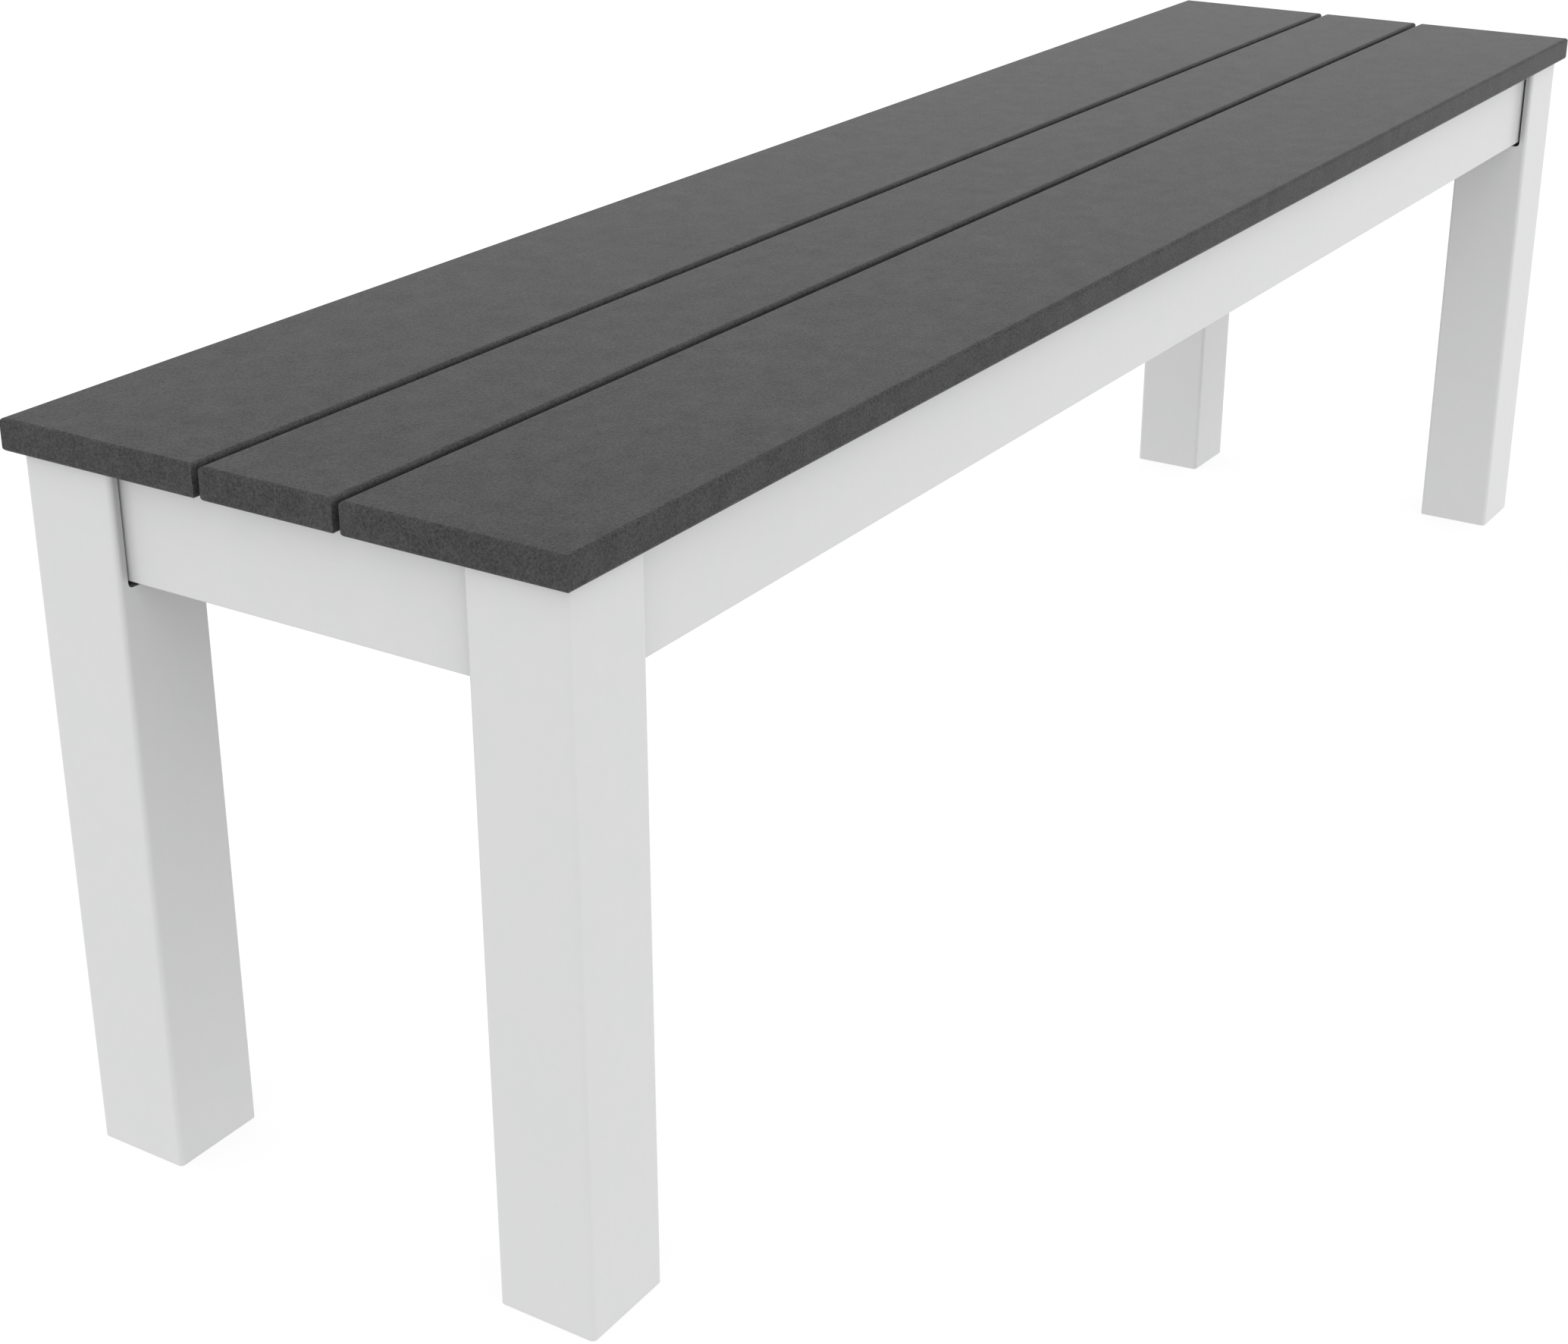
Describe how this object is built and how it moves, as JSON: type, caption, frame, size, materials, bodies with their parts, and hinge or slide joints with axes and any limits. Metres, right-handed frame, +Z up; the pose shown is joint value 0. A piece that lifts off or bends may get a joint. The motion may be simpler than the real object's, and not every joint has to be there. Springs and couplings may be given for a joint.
{
  "type": "backless bench",
  "caption": "Backless outdoor bench: a flat seat of lengthwise slats on a frame of square legs joined by set-back aprons, with cross battens underneath.",
  "frame": {"origin": "on the floor, under the middle of the seat", "axes": "+X along the bench towards its right end, +Y across it towards the rear, +Z up; -Y is the front and -X the left end"},
  "size_m": [1.52, 0.3778, 0.455],
  "materials": {
    "charcoal_board": "matt, finely grained charcoal grey plastic lumber",
    "white_board": "satin white plastic lumber with faint saw and moulding marks",
    "stainless_steel": "plain stainless steel"
  },
  "bodies": {
    "root": {"apron_front": "white_board", "apron_left": "white_board", "apron_rear": "white_board", "apron_right": "white_board", "batten_centre": "white_board", "batten_left": "white_board", "batten_left_end": "white_board", "batten_right": "white_board", "batten_right_end": "white_board", "bracket_front_centre": "stainless_steel", "bracket_front_left": "stainless_steel", "bracket_front_right": "stainless_steel", "bracket_left_end_front": "stainless_steel", "bracket_left_end_rear": "stainless_steel", "bracket_rear_centre": "stainless_steel", "bracket_rear_left": "stainless_steel", "bracket_rear_right": "stainless_steel", "bracket_right_end_front": "stainless_steel", "bracket_right_end_rear": "stainless_steel", "bracket_screws": "stainless_steel", "leg_front_left": "white_board", "leg_front_right": "white_board", "leg_rear_left": "white_board", "leg_rear_right": "white_board", "leg_screws": "stainless_steel", "seat_slat_front": "charcoal_board", "seat_slat_middle": "charcoal_board", "seat_slat_rear": "charcoal_board", "slat_screws": "stainless_steel"}
  },
  "joints": []
}
